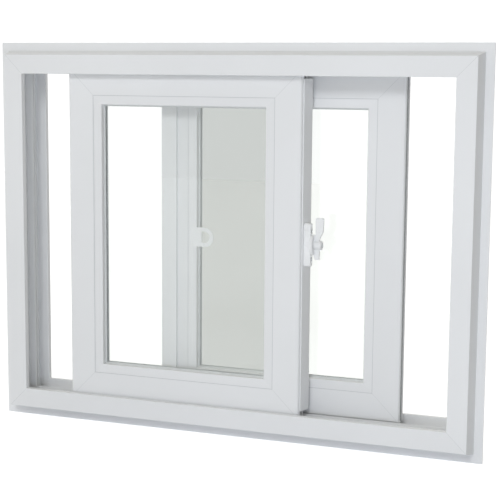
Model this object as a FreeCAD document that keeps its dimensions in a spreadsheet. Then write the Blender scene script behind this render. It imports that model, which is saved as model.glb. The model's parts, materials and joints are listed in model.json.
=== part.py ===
"""White uPVC horizontal sliding window: a mitred frame with two tracks, two glazed sashes and a turn latch.

Millimetres. X runs along the window, Y from the room side to the far side, Z up.
The origin is the middle of the bottom flange's back face, which lies on the wall.
"""
import FreeCAD, Part
import math
import os

import Sketcher

DOC = FreeCAD.newDocument("sliding_window")
SHEET = DOC.addObject("Spreadsheet::Sheet", "sizes")

SIZES = [
    # Outer frame, measured on its front face
    ("width", 1000.0, "front face, left to right"),
    ("height", 755.0, "front face, bottom to top"),
    ("frame_face", 40.0, "face width of the frame, outer edge to lip edge"),
    ("front_lip", 13.0, "thickness of the lip in front of the first track"),
    ("back_lip", 9.0, "thickness of the lip behind the second track"),
    ("track_floor", 16.0, "outer edge to the floor of the tracks"),
    ("rail_height", 8.0, "rail above the track floor"),
    ("rail_width", 2.0, "rail thickness"),
    ("fin_height", 16.5, "fin between the tracks, above the track floor"),
    ("fin_width", 2.0, "fin thickness"),
    ("step_depth", 33.0, "front face to the front of the wall flange"),
    ("step_taper", 8.0, "how far the sloped side spreads by the flange"),
    ("flange_reach", 25.0, "front face edge to the flange edge"),
    ("flange_thickness", 4.0, "wall flange thickness"),
    ("frame_round", 1.5, "rounding of the frame's front edges"),
    ("drain_length", 30.0, "drain slot through the sill's back lip"),
    ("drain_height", 5.0, "drain slot above the track floor"),
    ("drain_inset", 200.0, "outer edge to the middle of a drain slot"),
    # Sashes
    ("sash_depth", 33.0, "sash thickness"),
    ("sash_face", 57.0, "sash edge to the bead line"),
    ("sash_play", 5.0, "sash to lip"),
    ("sash_between", 12.0, "first sash to second sash"),
    ("sash_drop", 5.5, "rail top to the sash's bottom edge"),
    ("head_play", 10.0, "sash top to the upper track floor"),
    ("close_play", 5.0, "closed sash to the side track floor"),
    ("meeting_overlap", 70.0, "overlap of the two meeting stiles when closed"),
    ("groove_width", 12.0, "rail groove round the sash edge"),
    ("groove_depth", 14.0, "rail groove depth"),
    ("sash_round", 5.0, "rounding of the sash's long edges"),
    ("front_open", 120.0, "how far the room side sash stands open"),
    ("rear_open", 127.5, "how far the far side sash stands open"),
    # Glazing
    ("back_leg", 8.0, "sash leg behind the glass"),
    ("glazing_depth", 12.0, "double glazing, front to back"),
    ("pane_depth", 4.0, "one pane, front to back"),
    ("glass_edge", 4.0, "glass edge to the rebate floor"),
    ("spacer_width", 9.0, "spacer bar, across"),
    ("bead_width", 19.0, "front of the glazing bead"),
    ("bead_inset", 0.8, "bead front behind the sash face"),
    ("bead_round", 2.0, "rounding of the bead's front edge beside the glass"),
    # Meeting stile covers, with hooks that meet when the window is closed
    ("cover_front", 2.5, "room side cover on the stile's edge, at its front"),
    ("cover_back", 10.0, "room side cover on the stile's edge, at its back"),
    ("cover_plate", 2.0, "cover thickness on the stile's face, and the far cover's edge"),
    ("cover_edge", 5.0, "stile face to the cover's free edge"),
    ("hook_reach", 33.0, "stile edge to the far side of the far sash's hook"),
    ("hook_height", 3.5, "hook leg above the cover"),
    ("hook_width", 2.0, "hook leg thickness"),
    ("hook_play", 5.0, "hook to hook when closed"),
    ("cover_end", 5.0, "cover end to the frame lip"),
    # Rollers
    ("wheel_radius", 9.0, "roller wheel"),
    ("wheel_width", 7.0, "roller wheel width"),
    ("wheel_groove", 2.0, "depth of the groove that runs on the rail"),
    ("wheel_seat", 0.3, "wheel to rail, at the seat"),
    ("rail_fit", 0.5, "rail to each side of the wheel groove"),
    ("axle_radius", 2.0, "roller axle"),
    ("axle_fit", 0.05, "axle to wheel bore"),
    ("cheek", 1.6, "roller carriage side plate"),
    ("cheek_play", 0.5, "wheel to side plate"),
    ("cheek_drop", 4.0, "roller axle to the side plate's bottom edge"),
    ("carriage_length", 46.0, "roller carriage"),
    ("roller_inset", 95.0, "sash edge to the roller axle"),
    # Turn latch and its keeper
    ("latch_rise", 353.5, "sash bottom to the latch axis"),
    ("latch_setback", 17.0, "sash front face to the latch axis"),
    ("latch_length", 87.0, "latch base, bottom to top"),
    ("latch_width", 15.0, "latch base, front to back"),
    ("latch_base", 12.0, "latch base thickness at the axis"),
    ("latch_corner", 5.0, "rounding of the latch base's corners"),
    ("latch_rim", 2.0, "rounding of the latch base's outer rim"),
    ("screw_spread", 28.0, "latch axis to a fixing screw"),
    ("screw_recess", 4.2, "fixing screw recess, radius"),
    ("screw_depth", 3.0, "fixing screw recess, depth"),
    ("pivot_radius", 3.0, "latch pivot"),
    ("pivot_fit", 0.05, "pivot to lever bore"),
    ("cap_radius", 10.0, "domed head of the pivot"),
    ("cap_height", 5.5, "domed head of the pivot, along the axis"),
    ("cap_round", 4.5, "rounding of the pivot's head"),
    ("lever_play", 0.5, "lever to the latch base and to the pivot's head"),
    ("hub_radius", 8.5, "lever hub"),
    ("hub_length", 16.0, "lever hub, along the axis"),
    ("lever_length", 54.5, "latch axis to the lever tip"),
    ("lever_thickness", 6.0, "lever blade, front to back"),
    ("lever_tab", 16.5, "finger tab, across"),
    ("lever_crank", 8.5, "how far the finger tab stands out past the hub"),
    ("knee_inset", 1.0, "tab's outer edge at the tip to the knee, across"),
    ("lever_knee", 27.0, "latch axis to the knee"),
    ("lever_neck", 22.0, "latch axis to the bottom of the tab's inner edge"),
    ("lever_root", 11.0, "latch axis to the start of the crank"),
    ("lever_foot", 1.5, "hub end to the blade's inner edge"),
    ("lever_waist", 12.0, "latch axis to the start of the tail"),
    ("lever_tail", 29.5, "latch axis to the tail's end"),
    ("tail_width", 7.5, "tail's end, across"),
    ("tail_bevel", 2.0, "bevel of the tail's end"),
    ("tab_round", 3.5, "rounding of the finger tab"),
    ("cam_radius", 20.5, "crescent cam"),
    ("cam_chord", 6.0, "latch axis to the cam's flat side"),
    ("cam_thickness", 6.0, "crescent cam, along the axis"),
    ("keeper_start", 64.0, "stile edge to the keeper"),
    ("keeper_length", 50.0, "keeper loop, left to right"),
    ("keeper_height", 40.0, "keeper loop, bottom to top"),
    ("keeper_thickness", 2.0, "keeper loop, front to back"),
    ("keeper_corner", 4.0, "rounding of the keeper's fixed corners"),
    ("keeper_eye", 18.0, "eye of the keeper, left to right"),
    ("eye_height", 24.0, "eye of the keeper, bottom to top"),
    ("eye_wall", 8.0, "eye to the keeper's free end"),
]

for row, (alias, value, note) in enumerate(SIZES, 1):
    SHEET.set(f"A{row}", note)
    SHEET.set(f"B{row}", str(value))
    SHEET.setAlias(f"B{row}", alias)
DOC.recompute()

# Places and sizes that follow from the sheet, as expressions
LEFT = "(-sizes.width / 2)"
FRONT = "(-sizes.step_depth - sizes.flange_thickness)"
BOTTOM = "((sizes.flange_reach + sizes.step_taper) / 2)"
FRAME_DEPTH = (
    "(sizes.front_lip + 2 * sizes.sash_play + 2 * sizes.sash_depth"
    " + sizes.sash_between + sizes.back_lip)"
)
TRACK_1 = "(sizes.front_lip + sizes.sash_play)"
TRACK_2 = f"({TRACK_1} + sizes.sash_depth + sizes.sash_between)"
SASH_BOTTOM = "(sizes.track_floor + sizes.rail_height + sizes.sash_drop)"
SASH_WIDTH = (
    "((sizes.width - 2 * sizes.track_floor - 2 * sizes.close_play"
    " + sizes.meeting_overlap) / 2)"
)
SASH_HEIGHT = f"(sizes.height - sizes.track_floor - sizes.head_play - {SASH_BOTTOM})"
SASH_INNER = "(sizes.sash_face + sizes.bead_width)"
BEAD_DEPTH = "(sizes.sash_depth - sizes.back_leg - sizes.glazing_depth)"
CLOSED = "(sizes.track_floor + sizes.close_play)"
COVER_DEPTH = "(sizes.sash_depth - sizes.cover_edge + sizes.cover_plate)"
COVER_SLOPE = f"((sizes.cover_back - sizes.cover_front) / {COVER_DEPTH})"
FRONT_SASH = (
    f"({LEFT} + {CLOSED} + sizes.front_open)",
    f"({FRONT} + {TRACK_1})",
    f"({BOTTOM} + {SASH_BOTTOM})",
)
REAR_SASH = (
    f"({LEFT} + sizes.width - {CLOSED} - sizes.rear_open - {SASH_WIDTH})",
    f"({FRONT} + {TRACK_2})",
    f"({BOTTOM} + {SASH_BOTTOM})",
)

# Axis numbers for picking edges, how near counts as on the spot, and the point numbers of a sketch item
LENGTHWISE = 0
CROSSWISE = 1
NEAR = 1e-4
START = 1
END = 2
CENTRE = 3


def add(*terms):
    """Join expressions with plus signs."""
    return "(" + " + ".join(terms) + ")"


def less(first, *rest):
    """Take the later expressions from the first."""
    return "(" + " - ".join((first, *rest)) + ")"


def minus(expression):
    return f"(-{expression})"


def size(expression):
    """Present value of an expression."""
    return float(SHEET.evalExpression(expression))


def new_body(label):
    body = DOC.addObject("PartDesign::Body", label)
    body.Label = label
    return body


def place(body, x, y, z, turn=0.0, axis=(0, 1, 0)):
    """Put a body at three expressions, turned about an axis by whole quarter turns."""
    body.Placement = FreeCAD.Placement(
        FreeCAD.Vector(), FreeCAD.Rotation(FreeCAD.Vector(*axis), turn)
    )
    for name, expression in zip("xyz", (x, y, z)):
        body.setExpression(f"Placement.Base.{name}", expression)


def new_sketch(body, role, offset=None):
    """Sketch on one of the body's own origin planes, moved along its normal by an expression."""
    plane = next(f for f in body.Origin.OriginFeatures if f.Role == role)
    sketch = body.newObject("Sketcher::SketchObject", "sketch")
    sketch.AttachmentSupport = (plane, "")
    sketch.MapMode = "FlatFace"
    if offset:
        sketch.setExpression("AttachmentOffset.Base.z", offset)
    return sketch


def drive(sketch, expression, *constraint):
    """Add a constraint whose value follows an expression."""
    index = sketch.addConstraint(Sketcher.Constraint(*constraint, size(expression)))
    sketch.setExpression(f"Constraints[{index}]", expression)


def pin_down(sketch, item, point, x, y):
    """Fix one point of an item at two expressions from the sketch's origin."""
    for kind, axis, expression in (("DistanceX", -2, x), ("DistanceY", -1, y)):
        if expression == "0":
            sketch.addConstraint(Sketcher.Constraint("PointOnObject", item, point, axis))
        else:
            drive(sketch, expression, kind, -1, 1, item, point)


def join_ends(sketch, items):
    """Close a loop: each item ends where the next one starts."""
    for item, following in zip(items, items[1:] + items[:1]):
        sketch.addConstraint(Sketcher.Constraint("Coincident", item, END, following, START))


def draw_loop(sketch, corners):
    """Closed loop of straight lines; each corner is a pair of expressions."""
    points = [FreeCAD.Vector(size(x), size(y), 0) for x, y in corners]
    lines = [
        sketch.addGeometry(Part.LineSegment(start, end), False)
        for start, end in zip(points, points[1:] + points[:1])
    ]
    join_ends(sketch, lines)
    for line, (x, y) in zip(lines, corners):
        pin_down(sketch, line, START, x, y)


def circle_at(x, y, radius):
    centre = FreeCAD.Vector(size(x), size(y), 0)
    return Part.Circle(centre, FreeCAD.Vector(0, 0, 1), size(radius))


def draw_circle(sketch, x, y, radius):
    """Circle with its centre at two expressions."""
    circle = sketch.addGeometry(circle_at(x, y, radius), False)
    drive(sketch, radius, "Radius", circle)
    pin_down(sketch, circle, CENTRE, x, y)


def draw_segment(sketch, radius, chord):
    """Part of a circle round the origin, on the low side of an upright chord."""
    half = math.acos(size(chord) / size(radius))
    rim = Part.ArcOfCircle(circle_at("0", "0", radius), half, 2 * math.pi - half)
    arc = sketch.addGeometry(rim, False)
    line = sketch.addGeometry(Part.LineSegment(rim.EndPoint, rim.StartPoint), False)
    join_ends(sketch, [arc, line])
    drive(sketch, radius, "Radius", arc)
    pin_down(sketch, arc, CENTRE, "0", "0")
    sketch.addConstraint(Sketcher.Constraint("Vertical", line))
    drive(sketch, chord, "DistanceX", -1, 1, line, START)


def draw_dee(sketch, start, end, half):
    """Loop from a square end to a round end, level about the origin."""
    turn = less(end, half)
    corners = [(turn, half), (start, half), (start, minus(half)), (turn, minus(half))]
    points = [FreeCAD.Vector(size(x), size(y), 0) for x, y in corners]
    lines = [
        sketch.addGeometry(Part.LineSegment(low, high), False)
        for low, high in zip(points, points[1:])
    ]
    quarter = math.pi / 2
    arc = sketch.addGeometry(Part.ArcOfCircle(circle_at(turn, "0", half), -quarter, quarter), False)
    loop = lines + [arc]
    join_ends(sketch, loop)
    for item, (x, y) in zip(loop, corners):
        pin_down(sketch, item, START, x, y)
    drive(sketch, turn, "DistanceX", -1, 1, arc, CENTRE)


def rectangle(x0, y0, x1, y1):
    return [(x0, y0), (x1, y0), (x1, y1), (x0, y1)]


def pad(body, sketch, length, both=False, reverse=False):
    feature = body.newObject("PartDesign::Pad", "pad")
    feature.Profile = sketch
    feature.setExpression("Length", length)
    feature.SideType = "Symmetric" if both else "One side"
    feature.Reversed = reverse
    DOC.recompute()
    return feature


def cut(body, sketch, depth=None, reverse=False):
    """Cut to a depth from the sketch, or right through the body both ways."""
    before = body.Shape.Volume
    feature = body.newObject("PartDesign::Pocket", "cut")
    feature.Profile = sketch
    if depth:
        feature.setExpression("Length", depth)
        feature.Reversed = reverse
    else:
        feature.SideType = "Symmetric"
        feature.Type = "ThroughAll"
    DOC.recompute()
    if not body.Shape.Volume < before:
        raise RuntimeError(f"{body.Label}: a cut removed nothing")


def edges_where(feature, wanted):
    """Names of the edges whose end points all pass a test."""
    return [
        f"Edge{number}"
        for number, edge in enumerate(feature.Shape.Edges, 1)
        if all(wanted(vertex.Point) for vertex in edge.Vertexes)
    ]


def edges_along(feature, axis, spots):
    """Names of the edges along one axis that pass through the given pairs of expressions."""
    others = [i for i in range(3) if i != axis]
    names = []
    for first, second in spots:
        spot = (size(first), size(second))
        names += edges_where(
            feature, lambda point: math.dist([point[i] for i in others], spot) < NEAR
        )
    return names


def round_edges(body, feature, names, radius):
    fillet = body.newObject("PartDesign::Fillet", "rounding")
    fillet.Base = (feature, names)
    fillet.setExpression("Radius", radius)
    DOC.recompute()
    return fillet


def mitred_bar(label, profile, outer, inner, length, rounded, radius):
    """Extrude a (depth, inward) profile along X and cut both ends at 45 degrees.

    outer is how far the profile reaches outside the ring's nominal edge, inner how far inside.
    """
    body = new_body(label)
    sketch = new_sketch(body, "YZ_Plane")
    draw_loop(sketch, profile)
    whole = add(length, outer, outer)
    feature = pad(body, sketch, whole)
    round_edges(body, feature, edges_along(feature, LENGTHWISE, rounded), radius)
    low = less("0", outer)
    reach = add(outer, inner)
    ends = new_sketch(body, "XZ_Plane")
    draw_loop(ends, [("0", low), (reach, inner), ("0", inner)])
    draw_loop(ends, [(whole, low), (whole, inner), (less(whole, reach), inner)])
    cut(body, ends)
    return body


def mitred_ring(labels, corner, across, tall, profile, outer, inner, rounded, radius):
    """Four mitred bars round a rectangle whose lower left front corner is at three expressions."""
    x, y, z = corner
    bottom, top, left, right = labels
    low_x = less(x, outer)
    high_x = add(x, across, outer)
    low_z = less(z, outer)
    high_z = add(z, tall, outer)
    places = (
        (bottom, across, 0, low_x, z),
        (top, across, 180, high_x, add(z, tall)),
        (left, tall, 90, x, high_z),
        (right, tall, -90, add(x, across), low_z),
    )
    bars = []
    for label, length, turn, bar_x, bar_z in places:
        bar = mitred_bar(label, profile, outer, inner, length, rounded, radius)
        place(bar, bar_x, y, bar_z, turn)
        bars.append(bar)
    return bars


def build_frame():
    """Outer frame: one profile with two railed tracks and a wall flange, welded from four bars."""
    floor = "sizes.track_floor"
    lip = "sizes.frame_face"
    back = less(FRAME_DEPTH, "sizes.back_lip")
    flange_back = add("sizes.step_depth", "sizes.flange_thickness")
    rib_middle = f"({TRACK_2} - sizes.sash_between / 2)"
    ribs = (
        (add(TRACK_1, "sizes.sash_depth / 2"), "sizes.rail_width", "sizes.rail_height"),
        (rib_middle, "sizes.fin_width", "sizes.fin_height"),
        (add(TRACK_2, "sizes.sash_depth / 2"), "sizes.rail_width", "sizes.rail_height"),
    )
    profile = [("0", "0"), ("0", lip), ("sizes.front_lip", lip), ("sizes.front_lip", floor)]
    for middle, width, height in ribs:
        near = f"({middle} - {width} / 2)"
        far = f"({middle} + {width} / 2)"
        top = add(floor, height)
        profile += [(near, floor), (near, top), (far, top), (far, floor)]
    profile += [
        (back, floor),
        (back, lip),
        (FRAME_DEPTH, lip),
        (FRAME_DEPTH, "(-sizes.step_taper)"),
        (flange_back, "(-sizes.step_taper)"),
        (flange_back, "(-sizes.flange_reach)"),
        ("sizes.step_depth", "(-sizes.flange_reach)"),
        ("sizes.step_depth", "(-sizes.step_taper)"),
    ]
    sill, *_ = mitred_ring(
        ("frame_sill", "frame_head", "frame_left_jamb", "frame_right_jamb"),
        (LEFT, FRONT, BOTTOM),
        "sizes.width",
        "sizes.height",
        profile,
        "sizes.flange_reach",
        lip,
        (("0", "0"), ("0", lip), ("sizes.front_lip", lip)),
        "sizes.frame_round",
    )
    cut_drains(sill)


def cut_drains(sill):
    """Two slots that let rain out of the far track, through the sill's back lip."""
    sketch = new_sketch(sill, "XZ_Plane", minus(FRAME_DEPTH))
    half = "(sizes.drain_length / 2)"
    high = add("sizes.track_floor", "sizes.drain_height")
    left = add("sizes.flange_reach", "sizes.drain_inset")
    right = less(add("sizes.flange_reach", "sizes.width"), "sizes.drain_inset")
    for middle in (left, right):
        draw_loop(sketch, rectangle(less(middle, half), "sizes.track_floor", add(middle, half), high))
    cut(sill, sketch, add("sizes.back_lip", "sizes.sash_play / 2"), reverse=True)


def build_sash(name, corner):
    """One sash: four mitred bars, four glazing beads, two panes and the spacer between them."""
    depth = "sizes.sash_depth"
    face = "sizes.sash_face"
    leg = less(depth, "sizes.back_leg")
    near = "(sizes.sash_depth / 2 - sizes.groove_width / 2)"
    far = "(sizes.sash_depth / 2 + sizes.groove_width / 2)"
    profile = [
        ("0", "0"),
        ("0", face),
        (leg, face),
        (leg, SASH_INNER),
        (depth, SASH_INNER),
        (depth, "0"),
        (far, "0"),
        (far, "sizes.groove_depth"),
        (near, "sizes.groove_depth"),
        (near, "0"),
    ]
    mitred_ring(
        [f"{name}_sash_{part}" for part in ("bottom_rail", "top_rail", "left_stile", "right_stile")],
        corner,
        SASH_WIDTH,
        SASH_HEIGHT,
        profile,
        "0",
        SASH_INNER,
        (("0", "0"), (depth, "0")),
        "sizes.sash_round",
    )
    mitred_ring(
        [f"{name}_bead_{part}" for part in ("bottom", "top", "left", "right")],
        corner,
        SASH_WIDTH,
        SASH_HEIGHT,
        rectangle("sizes.bead_inset", face, BEAD_DEPTH, SASH_INNER),
        "0",
        SASH_INNER,
        (("sizes.bead_inset", SASH_INNER),),
        "sizes.bead_round",
    )
    build_glass(name, corner)


def build_glass(name, corner):
    """Sealed double glazing: a room side pane, a far side pane and a spacer bar round the edge."""
    low = add("sizes.sash_face", "sizes.glass_edge")
    inner = add(low, "sizes.spacer_width")
    cavity = "(sizes.glazing_depth - 2 * sizes.pane_depth)"
    x, y, z = corner
    layers = (
        (f"{name}_pane_inner", BEAD_DEPTH, "sizes.pane_depth", (low,)),
        (f"{name}_glass_spacer", add(BEAD_DEPTH, "sizes.pane_depth"), cavity, (low, inner)),
        (f"{name}_pane_outer", add(BEAD_DEPTH, "sizes.pane_depth", cavity), "sizes.pane_depth", (low,)),
    )
    for label, start, thickness, edges in layers:
        body = new_body(label)
        sketch = new_sketch(body, "XZ_Plane")
        for edge in edges:
            draw_loop(sketch, rectangle(edge, edge, less(SASH_WIDTH, edge), less(SASH_HEIGHT, edge)))
        pad(body, sketch, thickness, reverse=True)
        place(body, x, add(y, start), z)


def turn_wheel(label):
    """Nylon wheel with a groove that runs on the rail; its axle lies along Y."""
    wheel = new_body(label)
    half = "(sizes.wheel_width / 2)"
    slot = "(sizes.rail_width / 2 + sizes.rail_fit)"
    bore = add("sizes.axle_radius", "sizes.axle_fit")
    rim = "sizes.wheel_radius"
    root = less(rim, "sizes.wheel_groove")
    sketch = new_sketch(wheel, "YZ_Plane")
    draw_loop(
        sketch,
        [
            (minus(half), bore),
            (minus(half), rim),
            (minus(slot), rim),
            (minus(slot), root),
            (slot, root),
            (slot, rim),
            (half, rim),
            (half, bore),
        ],
    )
    turned = wheel.newObject("PartDesign::Revolution", "turned")
    turned.Profile = sketch
    turned.ReferenceAxis = (sketch, ["H_Axis"])
    turned.Angle = 360
    return wheel


def fold_carriage(label, roof):
    """Folded steel carriage with its axle; roof is the height of its top above the axle."""
    carriage = new_body(label)
    gap = "(sizes.wheel_width / 2 + sizes.cheek_play)"
    outer = add(gap, "sizes.cheek")
    low = "(-sizes.cheek_drop)"
    ceiling = less(roof, "sizes.cheek")
    sketch = new_sketch(carriage, "YZ_Plane")
    draw_loop(
        sketch,
        [
            (minus(outer), low),
            (minus(outer), roof),
            (outer, roof),
            (outer, low),
            (gap, low),
            (gap, ceiling),
            (minus(gap), ceiling),
            (minus(gap), low),
        ],
    )
    pad(carriage, sketch, "sizes.carriage_length", both=True)
    sketch = new_sketch(carriage, "XZ_Plane")
    draw_circle(sketch, "0", "0", "sizes.axle_radius")
    pad(carriage, sketch, add(gap, gap), both=True)
    return carriage


def build_rollers(name, corner):
    """Two rollers in the sash's bottom groove, each a grooved wheel in a carriage."""
    x, y, z = corner
    middle = add(y, "sizes.sash_depth / 2")
    rise = less(add("sizes.wheel_radius", "sizes.wheel_seat"), "sizes.sash_drop", "sizes.wheel_groove")
    for side, axle_x in (
        ("left", add(x, "sizes.roller_inset")),
        ("right", less(add(x, SASH_WIDTH), "sizes.roller_inset")),
    ):
        wheel = turn_wheel(f"{name}_roller_{side}_wheel")
        carriage = fold_carriage(f"{name}_roller_{side}_carriage", less("sizes.groove_depth", rise))
        for body in (wheel, carriage):
            place(body, axle_x, middle, add(z, rise))


def build_cover(label, near, far, hook):
    """Cover for a right hand meeting stile: an angle round its edge with a hook leg on its back.

    The origin is the stile's back corner; near and far are the edge leg's thickness at its ends.
    """
    body = new_body(label)
    plate = "sizes.cover_plate"
    free = "(sizes.cover_edge - sizes.sash_depth)"
    tip = add(plate, "sizes.hook_height")
    leg = less("sizes.hook_width", hook)
    sketch = new_sketch(body, "XY_Plane")
    draw_loop(
        sketch,
        [
            ("0", "0"),
            ("0", free),
            (near, free),
            (far, plate),
            (leg, plate),
            (leg, tip),
            (minus(hook), tip),
            (minus(hook), "0"),
        ],
    )
    pad(body, sketch, "(sizes.height - 2 * (sizes.frame_face + sizes.cover_end))")
    return body


def build_covers():
    """The two covers; the far sash's is turned half round to face the room side sash."""
    low = add(BOTTOM, "sizes.frame_face", "sizes.cover_end")
    x, y, _ = FRONT_SASH
    hook = "(sizes.meeting_overlap - sizes.hook_reach - sizes.hook_play)"
    cover = build_cover("front_meeting_cover", "sizes.cover_front", "sizes.cover_back", hook)
    place(cover, add(x, SASH_WIDTH), add(y, "sizes.sash_depth"), low)
    x, y, _ = REAR_SASH
    cover = build_cover("rear_meeting_cover", "sizes.cover_plate", "sizes.cover_plate", "sizes.hook_reach")
    place(cover, x, y, low, 180, (0, 0, 1))


def build_latch_base():
    """Latch base on the sloped cover, with screw recesses, the pivot and the pivot's domed head."""
    base = new_body("latch_base")
    half = "(sizes.latch_width / 2)"
    tall = "(sizes.latch_length / 2)"
    top = "sizes.latch_base"
    slant = f"({half} * {COVER_SLOPE})"
    sketch = new_sketch(base, "XY_Plane")
    draw_loop(sketch, [(minus(slant), minus(half)), (top, minus(half)), (top, half), (slant, half)])
    block = pad(base, sketch, "sizes.latch_length", both=True)
    corners = rectangle(minus(half), minus(tall), half, tall)
    block = round_edges(base, block, edges_along(block, LENGTHWISE, corners), "sizes.latch_corner")
    rim = edges_where(block, lambda point: abs(point.x - size(top)) < NEAR)
    round_edges(base, block, rim, "sizes.latch_rim")
    sketch = new_sketch(base, "YZ_Plane", top)
    for spread in ("sizes.screw_spread", "(-sizes.screw_spread)"):
        draw_circle(sketch, "0", spread, "sizes.screw_recess")
    cut(base, sketch, "sizes.screw_depth")
    head = add(top, "sizes.lever_play", "sizes.hub_length", "sizes.lever_play")
    sketch = new_sketch(base, "YZ_Plane")
    draw_circle(sketch, "0", "0", "sizes.pivot_radius")
    pad(base, sketch, head)
    sketch = new_sketch(base, "YZ_Plane", head)
    draw_circle(sketch, "0", "0", "sizes.cap_radius")
    cap = pad(base, sketch, "sizes.cap_height")
    end = size(add(head, "sizes.cap_height"))
    rim = edges_where(cap, lambda point: abs(point.x - end) < NEAR)
    round_edges(base, cap, rim, "sizes.cap_round")
    return base


def build_latch_lever():
    """One piece lever: a hub on the pivot, a crescent cam, and a cranked blade with a finger tab."""
    lever = new_body("latch_lever")
    start = add("sizes.latch_base", "sizes.lever_play")
    end = add(start, "sizes.hub_length")
    sketch = new_sketch(lever, "YZ_Plane", start)
    draw_circle(sketch, "0", "0", "sizes.hub_radius")
    pad(lever, sketch, "sizes.hub_length")
    sketch = new_sketch(lever, "YZ_Plane", start)
    draw_segment(sketch, "sizes.cam_radius", "sizes.cam_chord")
    pad(lever, sketch, "sizes.cam_thickness")
    outer = add(end, "sizes.lever_crank")
    inner = less(outer, "sizes.lever_tab")
    foot = add(start, "sizes.lever_foot")
    tail = "(-sizes.lever_tail)"
    bevel = "(sizes.tail_bevel - sizes.lever_tail)"
    back = less(end, "sizes.tail_width")
    sketch = new_sketch(lever, "XZ_Plane")
    draw_loop(
        sketch,
        [
            (inner, "sizes.lever_length"),
            (outer, "sizes.lever_length"),
            (less(outer, "sizes.knee_inset"), "sizes.lever_knee"),
            (end, "sizes.lever_root"),
            (end, bevel),
            (less(end, "sizes.tail_bevel"), tail),
            (back, tail),
            (less(back, "sizes.tail_bevel"), bevel),
            (foot, "(-sizes.lever_waist)"),
            (foot, "sizes.lever_waist"),
            (inner, "sizes.lever_neck"),
        ],
    )
    blade = pad(lever, sketch, "sizes.lever_thickness", both=True)
    tab = ((inner, "sizes.lever_length"), (outer, "sizes.lever_length"))
    round_edges(lever, blade, edges_along(blade, CROSSWISE, tab), "sizes.tab_round")
    sketch = new_sketch(lever, "YZ_Plane")
    draw_circle(sketch, "0", "0", add("sizes.pivot_radius", "sizes.pivot_fit"))
    cut(lever, sketch)
    return lever


def build_latch():
    """Turn latch on the cover of the room side sash's meeting stile, lever up."""
    x, y, z = FRONT_SASH
    inset = less("sizes.latch_setback", "sizes.cover_edge")
    seat = add(x, SASH_WIDTH, "sizes.cover_front", f"{inset} * {COVER_SLOPE}")
    for body in (build_latch_base(), build_latch_lever()):
        place(body, seat, add(y, "sizes.latch_setback"), add(z, "sizes.latch_rise"))


def build_keeper():
    """Keeper loop on the far sash's bead, reaching over the glass, level with the latch."""
    x, y, z = REAR_SASH
    keeper = new_body("latch_keeper")
    end = "sizes.keeper_length"
    eye_end = less(end, "sizes.eye_wall")
    sketch = new_sketch(keeper, "XZ_Plane")
    draw_dee(sketch, "0", end, "(sizes.keeper_height / 2)")
    draw_dee(sketch, less(eye_end, "sizes.keeper_eye"), eye_end, "(sizes.eye_height / 2)")
    plate = pad(keeper, sketch, "sizes.keeper_thickness", reverse=True)
    corners = (("0", "(-sizes.keeper_height / 2)"), ("0", "(sizes.keeper_height / 2)"))
    round_edges(keeper, plate, edges_along(plate, CROSSWISE, corners), "sizes.keeper_corner")
    place(
        keeper,
        add(x, "sizes.keeper_start"),
        less(add(y, "sizes.bead_inset"), "sizes.keeper_thickness"),
        add(z, "sizes.latch_rise"),
    )


def export_parts():
    """Check every object, then write each body to a file of its own."""
    DOC.recompute()
    for item in DOC.Objects:
        if {"Invalid", "Error"} & set(item.State):
            raise RuntimeError(f"{item.Label}: {item.State}")
    bodies = [item for item in DOC.Objects if item.TypeId == "PartDesign::Body"]
    for body in bodies:
        if body.Shape.isNull() or not body.Shape.isValid():
            raise RuntimeError(f"{body.Label}: no valid shape")
    os.makedirs("parts", exist_ok=True)
    for body in bodies:
        body.Shape.exportStep(f"parts/{body.Label}.step")


build_frame()
for sash_name, sash_corner in (("front", FRONT_SASH), ("rear", REAR_SASH)):
    build_sash(sash_name, sash_corner)
    build_rollers(sash_name, sash_corner)
build_covers()
build_latch()
build_keeper()
export_parts()
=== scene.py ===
import json
import math

import bmesh
import bpy
from mathutils import Matrix, Vector


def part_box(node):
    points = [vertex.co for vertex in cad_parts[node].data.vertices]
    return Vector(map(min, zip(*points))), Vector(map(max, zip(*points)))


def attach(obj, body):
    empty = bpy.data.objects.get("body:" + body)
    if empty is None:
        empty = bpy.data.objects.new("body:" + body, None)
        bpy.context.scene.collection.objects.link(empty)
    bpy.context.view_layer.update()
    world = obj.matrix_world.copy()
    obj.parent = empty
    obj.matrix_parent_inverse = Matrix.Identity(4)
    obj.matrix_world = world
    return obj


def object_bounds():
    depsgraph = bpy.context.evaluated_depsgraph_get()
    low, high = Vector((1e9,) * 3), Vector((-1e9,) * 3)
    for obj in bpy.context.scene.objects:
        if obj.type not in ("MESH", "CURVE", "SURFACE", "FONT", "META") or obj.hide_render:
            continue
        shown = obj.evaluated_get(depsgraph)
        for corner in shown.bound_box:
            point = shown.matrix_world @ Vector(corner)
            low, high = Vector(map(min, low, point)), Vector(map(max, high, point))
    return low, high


# White uPVC sliding window: finishes for the solids, with gaskets, spacer edges, weld lines, brush pile and
# screws as pieces of their own.
# Metres, in the row frame: X along the window, Y from the room to the far side, Z up.

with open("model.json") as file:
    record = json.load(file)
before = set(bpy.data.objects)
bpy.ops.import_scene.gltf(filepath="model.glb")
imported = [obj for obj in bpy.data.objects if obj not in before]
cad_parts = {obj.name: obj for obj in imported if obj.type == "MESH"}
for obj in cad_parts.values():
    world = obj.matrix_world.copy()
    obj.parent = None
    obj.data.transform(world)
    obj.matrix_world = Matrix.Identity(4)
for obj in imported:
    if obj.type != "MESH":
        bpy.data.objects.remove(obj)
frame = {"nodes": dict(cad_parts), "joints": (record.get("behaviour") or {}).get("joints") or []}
CAD_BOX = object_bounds()
NODES = frame["nodes"]
JOINTS = {joint["name"]: joint for joint in frame["joints"]}
MM = 0.001
SASHES = ("front", "rear")
UPVC_SLOTS = ("frame", "sash", "bead")

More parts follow.
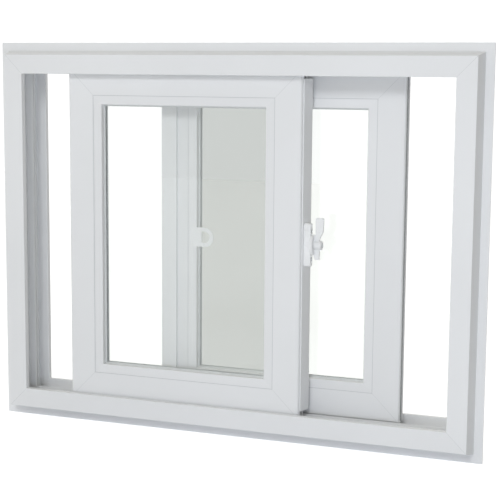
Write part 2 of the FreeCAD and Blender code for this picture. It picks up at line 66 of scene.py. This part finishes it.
# Camera, as the photograph was taken: the picture is 500 pixels square
PICTURE_PIXELS = 500
FOCAL_PIXELS = 1306.4
SENSOR_WIDTH = 36.0
CAMERA_PLACE = Vector((0.9683, -2.4489, 0.7388))
CAMERA_YAW = math.radians(20.738)
CAMERA_PITCH = math.radians(7.762)
CAMERA_ROLL = math.radians(0.442)

# Surround that lights the window, with how much its strength changes toward the right and behind
SURROUND_COLOUR = (1.0, 0.99, 0.93, 1.0)
SURROUND_STRENGTH = 0.41
SURROUND_RIGHT = -0.8
SURROUND_BEHIND = 1.05

# White that shows round the window, the floor's glow that matches it, and how much both drop where a ray has
# crossed both sashes, where the photograph shows grey; the two panes of a sash have four surfaces
PURE_WHITE = (1.0, 1.0, 1.0, 1.0)
WHITE_STRENGTH = 1.17
FLOOR_COLOUR = (0.94, 0.945, 0.97, 1.0)
FLOOR_SIZE = 12.0
FLOOR_LIFT = 0.645
BOTH_SASHES_DROP = 0.44
SASH_SURFACES = 4

# Each lamp: name, place from the window's middle, size, energy and colour
LAMPS = (
    ("key", Vector((0.4, -7.4, 4.4)), (2.2, 1.8), 165.0, (0.97, 0.985, 1.02)),
    ("fill", Vector((0.75, -2.2, -0.28)), (0.7, 0.5), 7.5, (0.86, 0.95, 1.12)),
)

# Sizes of the part that the added pieces follow
FLANGE_REACH = 25 * MM
STEP_TAPER = 8 * MM
SASH_ROUND = 5 * MM
SASH_FACE = 57 * MM
LATCH_BASE = 12 * MM
SCREW_DEPTH = 3 * MM
SCREW_SPREAD = 28 * MM

# Round on sharp edges, and the fine lines drawn on the faces
EDGE_ROUND = 0.45 * MM
EDGE_ANGLE = math.radians(35)
MERGE_DISTANCE = 0.002 * MM
LINE_PROUD = 0.02 * MM
WELD_WIDTH = 0.6 * MM
# JOINT_WIDTH is the width of the painted shade line beside each bead.
JOINT_WIDTH = 1.0 * MM


def linear(red, green, blue):
    """Linear colour from display values of 0 to 255."""
    values = [v / 255 for v in (red, green, blue)]
    return [v / 12.92 if v <= 0.04045 else ((v + 0.055) / 1.055) ** 2.4 for v in values] + [1.0]


class Nodes:
    """Short names for making the nodes of a material or of the world."""

    def __init__(self, owner):
        owner.use_nodes = True
        self.nodes = owner.node_tree.nodes
        self.links = owner.node_tree.links

    def put(self, socket, value):
        """Link a socket to another, or set its value."""
        if isinstance(value, bpy.types.NodeSocket):
            self.links.new(value, socket)
        else:
            socket.default_value = value

    def add(self, kind, **inputs):
        """New node, with its inputs by name."""
        node = self.nodes.new(kind)
        for name, value in inputs.items():
            self.put(node.inputs[name.replace("_", " ")], value)
        return node

    def combine(self, operation, first, second):
        """Result of an arithmetic node."""
        node = self.add("ShaderNodeMath")
        node.operation = operation
        self.put(node.inputs[0], first)
        self.put(node.inputs[1], second)
        return node.outputs[0]

    def spread(self, value, low, high, start=0.3, end=0.7):
        """Map a value, such as noise, between two numbers."""
        limits = {"From_Min": start, "From_Max": end, "To_Min": low, "To_Max": high}
        return self.add("ShaderNodeMapRange", Value=value, **limits).outputs["Result"]

    def join(self, kind, first, second, **inputs):
        """Join two shaders with a mix or an add node, whose shader inputs come last."""
        node = self.add(kind, **inputs)
        for socket, shader in zip(node.inputs[-2:], (first, second)):
            self.links.new(shader.outputs[0], socket)
        return node.outputs["Shader"]


class Finish(Nodes):
    """One material, with noise in the piece's own coordinates."""

    def __init__(self, name):
        self.material = bpy.data.materials.new(name)
        super().__init__(self.material)
        self.shader = self.nodes["Principled BSDF"]
        self.place = self.add("ShaderNodeTexCoord").outputs["Object"]

    def set(self, **inputs):
        """Inputs of the main shader, by name."""
        for name, value in inputs.items():
            self.put(self.shader.inputs[name.replace("_", " ")], value)

    def surface(self, shader):
        """Show another shader instead of the main one."""
        self.links.new(shader, self.nodes["Material Output"].inputs["Surface"])

    def stretched(self, x, y, z):
        """The piece's own coordinates, stretched."""
        return self.add("ShaderNodeMapping", Vector=self.place, Scale=(x, y, z)).outputs["Vector"]

    def noise(self, scale, detail, vector=None):
        """Noise of about 0.3 to 0.7."""
        node = self.add("ShaderNodeTexNoise", Vector=vector or self.place, Scale=scale, Detail=detail)
        return node.outputs["Fac"]

    def mix(self, factor, first, second):
        """Colour between two display colours."""
        node = self.add("ShaderNodeMix")
        node.data_type = "RGBA"
        for socket, value in zip((0, 6, 7), (factor, linear(*first), linear(*second))):
            self.put(node.inputs[socket], value)
        return node.outputs[2]

    def bump(self, height, strength, distance, **normal):
        """Normal bent by a height, on top of another normal where one is given."""
        node = self.add("ShaderNodeBump", Height=height, Strength=strength, Distance=distance, **normal)
        return node.outputs["Normal"]


def upvc(name, along):
    """Satin extruded plastic: a slow drift of tone, fine peel, and faint die lines along the bar."""
    finish = Finish(name)
    bar = finish.add("ShaderNodeObjectInfo").outputs["Random"]
    drift = finish.noise(scale=2.2, detail=3.0)
    tone = finish.combine("ADD", drift, finish.spread(bar, -0.12, 0.12, start=0.0, end=1.0))
    finish.set(Base_Color=finish.mix(finish.spread(tone, 0.0, 1.0), (240, 241, 242), (246, 247, 248)))
    finish.set(Roughness=finish.spread(finish.noise(scale=35.0, detail=4.0), 0.40, 0.52))
    finish.set(Specular_IOR_Level=0.25)
    stretch = [1.5 if axis == along else 900.0 for axis in "XYZ"]
    lines = finish.noise(scale=1.0, detail=2.0, vector=finish.stretched(*stretch))
    lined = finish.bump(lines, 0.10, 0.08 * MM)
    peel = finish.noise(scale=420.0, detail=3.0)
    finish.set(Normal=finish.bump(peel, 0.08, 0.10 * MM, Normal=lined))
    return finish.material


def glass():
    """Clear float glass with a faint tint; light that falls on the window passes it freely."""
    finish = Finish("float_glass")
    finish.set(Base_Color=(0.94, 0.951, 0.943, 1.0), Transmission_Weight=1.0, IOR=1.45)
    finish.set(Roughness=finish.spread(finish.noise(scale=9.0, detail=5.0), 0.0, 0.02))
    clear = finish.add("ShaderNodeBsdfTransparent", Color=PURE_WHITE)
    path = finish.add("ShaderNodeLightPath").outputs
    passing = finish.combine("MAXIMUM", path["Is Shadow Ray"], path["Is Diffuse Ray"])
    finish.surface(finish.join("ShaderNodeMixShader", finish.shader, clear, Fac=passing))
    return finish.material


def aluminium():
    """Pale matt anodised spacer bar with fine drawn lines."""
    finish = Finish("anodised_aluminium")
    grain = finish.noise(scale=1.0, detail=2.0, vector=finish.stretched(900.0, 900.0, 60.0))
    finish.set(Base_Color=finish.mix(grain, (226, 229, 230), (242, 244, 245)))
    finish.set(Metallic=0.1, Roughness=finish.spread(grain, 0.45, 0.6))
    finish.set(Normal=finish.bump(grain, 0.15, 0.05 * MM))
    return finish.material


def pile():
    """Grey brush pile: fine upright hairs with a soft sheen."""
    finish = Finish("brush_pile")
    hairs = finish.noise(scale=1.0, detail=2.0, vector=finish.stretched(2500.0, 2500.0, 700.0))
    finish.set(Base_Color=finish.mix(hairs, (118, 121, 121), (158, 161, 160)))
    finish.set(Roughness=finish.spread(hairs, 0.75, 0.95), Sheen_Weight=0.3)
    finish.set(Normal=finish.bump(hairs, 0.5, 0.2 * MM))
    return finish.material


def cloudy(name, scale, detail, tones, rough):
    """Finish whose tone and roughness drift together between two limits."""
    finish = Finish(name)
    cloud = finish.noise(scale, detail)
    finish.set(Base_Color=finish.mix(cloud, *tones), Roughness=finish.spread(cloud, *rough))
    return finish


def steel():
    """Bright zinc plate, slightly cloudy."""
    finish = cloudy("zinc_plate", 160.0, 5.0, ((150, 152, 154), (190, 191, 190)), (0.28, 0.5))
    finish.set(Metallic=1.0)
    finish.set(Normal=finish.bump(finish.noise(scale=700.0, detail=2.0), 0.1, 0.05 * MM))
    return finish.material


def nylon():
    """Off white moulded roller wheel."""
    finish = cloudy("nylon", 120.0, 3.0, ((198, 196, 186), (220, 218, 210)), (0.4, 0.55))
    finish.set(Normal=finish.bump(finish.noise(scale=900.0, detail=2.0), 0.1, 0.05 * MM))
    return finish.material


def latch_paint():
    """White powder coat with a fine peel."""
    finish = cloudy("white_powder_coat", 60.0, 3.0, ((246, 247, 248), (251, 252, 252)), (0.24, 0.36))
    finish.set(Normal=finish.bump(finish.noise(scale=650.0, detail=3.0), 0.15, 0.1 * MM))
    return finish.material


def rubber():
    """Pale grey glazing gasket."""
    finish = cloudy("pale_rubber", 90.0, 4.0, ((216, 219, 218), (230, 233, 232)), (0.5, 0.68))
    finish.set(Normal=finish.bump(finish.noise(scale=1200.0, detail=2.0), 0.15, 0.05 * MM))
    return finish.material


def weld_plastic():
    """Plastic dressed back along a weld, a little greyer than the face."""
    return cloudy("weld_line", 140.0, 3.0, ((214, 216, 217), (230, 232, 233)), (0.5, 0.65)).material


def joint_shade():
    """Grey for the line beside each bead: painted shade that stands for the shadow inside the joint."""
    return cloudy("painted_bead_shade", 140.0, 3.0, ((202, 205, 206), (216, 218, 219)), (0.5, 0.65)).material


def soften(node):
    """Small round on every sharp edge, with the flat faces still shaded flat."""
    weld = node.modifiers.new("weld", "WELD")
    weld.merge_threshold = MERGE_DISTANCE
    bevel = node.modifiers.new("edges", "BEVEL")
    bevel.width = EDGE_ROUND
    bevel.segments = 2
    bevel.limit_method = "ANGLE"
    bevel.angle_limit = EDGE_ANGLE
    bevel.use_clamp_overlap = True
    shade = node.modifiers.new("shade", "WEIGHTED_NORMAL")
    shade.weight = 80


def finish_cad(spacer_metal, plate):
    """Give every solid its material, and a small round where it isn't glass."""
    level = upvc("upvc_level", "X")
    upright = upvc("upvc_upright", "Z")
    others = {
        "glass": glass(),
        "spacer": spacer_metal,
        "wheel": nylon(),
        "steel": plate,
        "latch": latch_paint(),
    }
    for name, node in NODES.items():
        slot = node.data.materials[0].name
        low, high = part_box(name)
        bar = level if high.x - low.x > high.z - low.z else upright
        node.data.materials[0] = bar if slot in UPVC_SLOTS else others[slot]
        if slot != "glass":
            soften(node)


def new_piece(name, body, slot, material, maker, *sizes):
    """Make a mesh piece that rides on a body; maker draws it from the sizes."""
    mesh = bpy.data.meshes.new(name)
    built = bmesh.new()
    maker(built, *sizes)
    bmesh.ops.recalc_face_normals(built, faces=built.faces)
    built.to_mesh(mesh)
    built.free()
    mesh.materials.append(material)
    piece = bpy.data.objects.new(name, mesh)
    bpy.context.scene.collection.objects.link(piece)
    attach(piece, body)


def skirt(built, first, second):
    """Faces between two closed rings with as many points."""
    for i in range(len(first)):
        built.faces.new((first[i - 1], first[i], second[i], second[i - 1]))


def rectangle(x0, x1, z0, z1, inset):
    """Corners of an upright rectangle, moved inward, as (X, Z) points in turn."""
    left, right = x0 + inset, x1 - inset
    low, high = z0 + inset, z1 - inset
    return [(left, low), (right, low), (right, high), (left, high)]


def sight_lines(sash):
    """Left, right, bottom and top of the opening inside a sash's beads."""
    left, right, bottom, top = (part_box(f"{sash}_bead_{side}") for side in ("left", "right", "bottom", "top"))
    return left[1].x, right[0].x, bottom[1].z, top[0].z


def mitred_ring(built, sides, y, profile):
    """Sweep a closed (inward, back) profile round an upright rectangle, with mitred corners."""
    rows = []
    for inward, back in profile:
        rows.append([built.verts.new((x, y + back, z)) for x, z in rectangle(*sides, inward)])
    for row, following in zip(rows, rows[1:] + rows[:1]):
        skirt(built, row, following)


def add_gaskets(material):
    """Wedge gaskets where each pane meets the bead on the room side and the sash leg on the far side."""
    lip = 3.2 * MM
    proud = 1.6 * MM
    tuck = 0.6 * MM
    shoulder_in = 0.8 * lip
    shoulder_out = 0.45 * proud
    for sash in SASHES:
        sides = sight_lines(sash)
        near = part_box(f"{sash}_pane_inner")[0].y
        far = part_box(f"{sash}_pane_outer")[1].y
        for side, y, out in (("room", near, -1), ("far", far, 1)):
            name = f"{sash}_gasket_{side}"
            profile = [(-tuck, 0.0), (lip, 0.0), (shoulder_in, out * shoulder_out), (-tuck, out * proud)]
            new_piece(name, f"{sash}_sash", "spacer", material, mitred_ring, sides, y, profile)


def add_spacer_faces(material):
    """The folded edge of each spacer bar, which shows at the sight line between the panes."""
    reach = 5.5 * MM
    back = 0.4 * MM
    play = 0.05 * MM
    for sash in SASHES:
        name = f"{sash}_spacer_face"
        sides = sight_lines(sash)
        low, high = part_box(f"{sash}_glass_spacer")
        depth = high.y - low.y - 2 * play
        profile = [(-reach, 0.0), (-back, 0.0), (-back, depth), (-reach, depth)]
        new_piece(name, f"{sash}_sash", "spacer", material, mitred_ring, sides, low.y + play, profile)


def strip(built, start, end, y, width):
    """Flat strip that faces the room or the far side, from one (X, Z) point to another."""
    along = Vector((end[0] - start[0], 0.0, end[1] - start[1])).normalized()
    aside = Vector((-along.z, 0.0, along.x)) * width / 2
    first = Vector((start[0], y, start[1]))
    last = Vector((end[0], y, end[1]))
    built.faces.new([built.verts.new(p) for p in (first - aside, last - aside, last + aside, first + aside)])


def weld_lines(built, sides, faces):
    """Strip on each mitre of each (Y, outer inset, inner inset) face."""
    for y, outer, inner in faces:
        for start, end in zip(rectangle(*sides, outer), rectangle(*sides, inner)):
            strip(built, start, end, y, WELD_WIDTH)


def painted_bead_shade(built, sides, y):
    """Strip round the inner edge of a sash's face: a painted shade line along the bead joint."""
    corners = rectangle(*sides, SASH_FACE)
    for start, end in zip(corners, corners[1:] + corners[:1]):
        strip(built, start, end, y, JOINT_WIDTH)


def add_lines(weld, shade):
    """Weld lines at the mitres, and a painted shade line along the joint between each bead and its sash."""
    jambs = ("left_jamb", "right_jamb", "sill", "head")
    stiles = ("left_stile", "right_stile", "bottom_rail", "top_rail")
    for body, bars in (("frame", jambs), ("front_sash", stiles), ("rear_sash", stiles)):
        left, right, bottom, top = (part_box(f"{body}_{bar}") for bar in bars)
        sides = (left[0].x, right[1].x, bottom[0].z, top[1].z)
        bar_width = left[1].x - left[0].x
        near = left[0].y - LINE_PROUD
        far = left[1].y + LINE_PROUD
        if body == "frame":
            faces = ((near, FLANGE_REACH, bar_width), (far, FLANGE_REACH - STEP_TAPER, bar_width))
        else:
            faces = ((near, SASH_ROUND, SASH_FACE), (far, SASH_ROUND, bar_width))
        new_piece(f"{body}_weld_lines", body, "sash", weld, weld_lines, sides, faces)
        if body != "frame":
            # Painted shade: a grey strip on the face where the bead joint's shadow falls.
            new_piece(f"{body}_bead_joint", body, "sash", shade, painted_bead_shade, sides, near)


def brush(built, low, high, outward):
    """Brush pile with a ragged tip on the closing edge of a stile; outward is the way it points along X."""
    stand = 1.2 * MM
    sunk = 0.2 * MM
    near = 5.6 * MM
    wide = 3.2 * MM
    thinner = 0.5 * MM
    steps = 240
    edge = low.x if outward < 0 else high.x
    root = edge - outward * sunk
    start = low.z + SASH_ROUND
    length = high.z - low.z - 2 * SASH_ROUND
    rows = []
    for step in range(steps + 1):
        ragged = 0.86 + 0.14 * math.sin(step * 2.4) * math.sin(step * 0.77)
        tip = edge + outward * stand * ragged
        places = ((root, near), (tip, near + thinner), (tip, near + wide - thinner), (root, near + wide))
        rows.append([built.verts.new((x, low.y + y, start + length * step / steps)) for x, y in places])
    for row, following in zip(rows, rows[1:]):
        skirt(built, row, following)
    for row in (rows[0], rows[-1]):
        built.faces.new(row)


def add_pile(material):
    """Brush pile along the closing edge of each sash."""
    for sash, side, outward in (("front", "left_stile", -1), ("rear", "right_stile", 1)):
        low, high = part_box(f"{sash}_sash_{side}")
        new_piece(f"{sash}_sash_brush", f"{sash}_sash", "spacer", material, brush, low, high, outward)


def dome(built, place, radius, crown):
    """Domed head that faces +X; returns its last ring of points."""
    sides = 32
    turns = [2 * math.pi * i / sides for i in range(sides)]
    rings = []
    for share, rise in ((1.0, 0.0), (0.99, 0.35), (0.9, 0.72), (0.74, 1.0)):
        offsets = [(rise * crown, share * radius * math.cos(t), share * radius * math.sin(t)) for t in turns]
        rings.append([built.verts.new(place + Vector(offset)) for offset in offsets])
    for first, second in zip(rings, rings[1:]):
        skirt(built, first, second)
    return rings[-1]


def screw(built, place):
    """Cross recessed screw head that faces +X."""
    radius = 3.7 * MM
    crown = 1.0 * MM
    slot = 0.55 * MM
    reach = 2.1 * MM
    recess_floor = 0.15 * crown
    recess_taper = 0.8
    half = [(slot, slot), (slot, reach), (-slot, reach), (-slot, slot), (-reach, slot), (-reach, -slot)]
    cross = half + [(-across, -up) for across, up in half]
    rim = dome(built, place, radius, crown)
    mouth = [built.verts.new(place + Vector((crown, a, b))) for a, b in cross]
    sunk = [Vector((recess_floor, recess_taper * a, recess_taper * b)) for a, b in cross]
    floor = [built.verts.new(place + offset) for offset in sunk]
    skirt(built, mouth, floor)
    built.faces.new(floor)
    pairs = [(points[i - 1], points[i]) for points in (rim, mouth) for i in range(len(points))]
    bmesh.ops.triangle_fill(built, use_beauty=True, edges=[built.edges.get(pair) for pair in pairs])


def rivet(built, place):
    """Riveted end of the latch pivot."""
    built.faces.new(dome(built, place, radius=5.0 * MM, crown=1.1 * MM))


def add_latch_metal(material):
    """Screws that fix the latch base, and the riveted end of its pivot."""
    sunk = 0.2 * MM
    seat = Vector(JOINTS["latch_turn"]["pos_m"])
    for label, spread in (("upper", SCREW_SPREAD), ("lower", -SCREW_SPREAD)):
        place = seat + Vector((LATCH_BASE - SCREW_DEPTH, 0.0, spread))
        new_piece(f"latch_screw_{label}", "front_sash", "steel", material, screw, place)
    end = Vector((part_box("latch_base")[1].x - sunk, seat.y, seat.z))
    new_piece("latch_rivet", "front_sash", "steel", material, rivet, end)


def seen_directly(tree, strength):
    """Whether a ray shows the background, straight, through glass or mirrored, and how bright that is."""
    path = tree.add("ShaderNodeLightPath").outputs
    through_or_mirrored = tree.combine("MAXIMUM", path["Is Transmission Ray"], path["Is Glossy Ray"])
    shown = tree.combine("MAXIMUM", path["Is Camera Ray"], through_or_mirrored)
    unbounced = tree.combine("LESS_THAN", path["Diffuse Depth"], 0.5)
    crossed = path["Transmission Depth"]
    drop = tree.spread(crossed, 0.0, BOTH_SASHES_DROP, start=SASH_SURFACES, end=2 * SASH_SURFACES)
    return tree.combine("MULTIPLY", shown, unbounced), tree.combine("SUBTRACT", strength, drop)


def add_floor():
    """Pale floor that shows white to the camera and keeps the window's shadow."""
    bpy.ops.mesh.primitive_plane_add(size=FLOOR_SIZE, location=(0, 0, CAD_BOX[0].z))
    floor = bpy.context.object
    floor.name = "floor"
    finish = Finish("floor_white")
    finish.nodes.remove(finish.shader)
    matt = finish.add("ShaderNodeBsdfDiffuse", Color=FLOOR_COLOUR)
    shown, lift = seen_directly(finish, FLOOR_LIFT)
    strength = finish.combine("MULTIPLY", shown, lift)
    glow = finish.add("ShaderNodeEmission", Color=PURE_WHITE, Strength=strength)
    finish.surface(finish.join("ShaderNodeAddShader", matt, glow))
    floor.data.materials.append(finish.material)


def add_surround():
    """Warm surround, darker on the right and brighter behind, that the camera sees as plain white."""
    world = bpy.data.worlds.new("studio")
    bpy.context.scene.world = world
    tree = Nodes(world)
    generated = tree.add("ShaderNodeTexCoord").outputs["Generated"]
    direction = tree.add("ShaderNodeSeparateXYZ", Vector=generated).outputs
    right = tree.combine("MULTIPLY", direction["X"], SURROUND_RIGHT)
    behind = tree.combine("MULTIPLY", tree.combine("MAXIMUM", direction["Y"], 0.0), SURROUND_BEHIND)
    share = tree.combine("ADD", tree.combine("ADD", right, behind), 1.0)
    surround = tree.nodes["Background"]
    tree.put(surround.inputs["Color"], SURROUND_COLOUR)
    tree.put(surround.inputs["Strength"], tree.combine("MULTIPLY", share, SURROUND_STRENGTH))
    shown, strength = seen_directly(tree, WHITE_STRENGTH)
    white = tree.add("ShaderNodeBackground", Color=PURE_WHITE, Strength=strength)
    mixed = tree.join("ShaderNodeMixShader", surround, white, Fac=shown)
    tree.links.new(mixed, tree.nodes["World Output"].inputs["Surface"])


def add_lamps():
    """Soft key from above, and a cool fill from low on the right."""
    target = (CAD_BOX[0] + CAD_BOX[1]) / 2
    for name, place, size, energy, colour in LAMPS:
        lamp = bpy.data.lights.new(name, "AREA")
        lamp.shape = "RECTANGLE"
        lamp.size, lamp.size_y = size
        lamp.energy = energy
        lamp.color = colour
        holder = bpy.data.objects.new(name, lamp)
        bpy.context.scene.collection.objects.link(holder)
        holder.location = target + place
        holder.rotation_euler = (-place).to_track_quat("-Z", "Y").to_euler()


def add_camera():
    """Camera at the photograph's place and angle."""
    camera = bpy.data.objects.new("camera", bpy.data.cameras.new("camera"))
    bpy.context.scene.collection.objects.link(camera)
    camera.data.sensor_width = SENSOR_WIDTH
    camera.data.lens = FOCAL_PIXELS / PICTURE_PIXELS * SENSOR_WIDTH
    turn = Matrix.Rotation(CAMERA_YAW, 4, "Z")
    tilt = Matrix.Rotation(math.pi / 2 - CAMERA_PITCH, 4, "X")
    roll = Matrix.Rotation(CAMERA_ROLL, 4, "Z")
    camera.matrix_world = Matrix.Translation(CAMERA_PLACE) @ turn @ tilt @ roll
    bpy.context.scene.camera = camera


spacer_metal = aluminium()
plate = steel()
finish_cad(spacer_metal, plate)
add_gaskets(rubber())
add_spacer_faces(spacer_metal)
add_lines(weld_plastic(), joint_shade())
add_pile(pile())
add_latch_metal(plate)
add_floor()
add_surround()
add_lamps()
add_camera()
bpy.context.scene.view_settings.view_transform = "Standard"
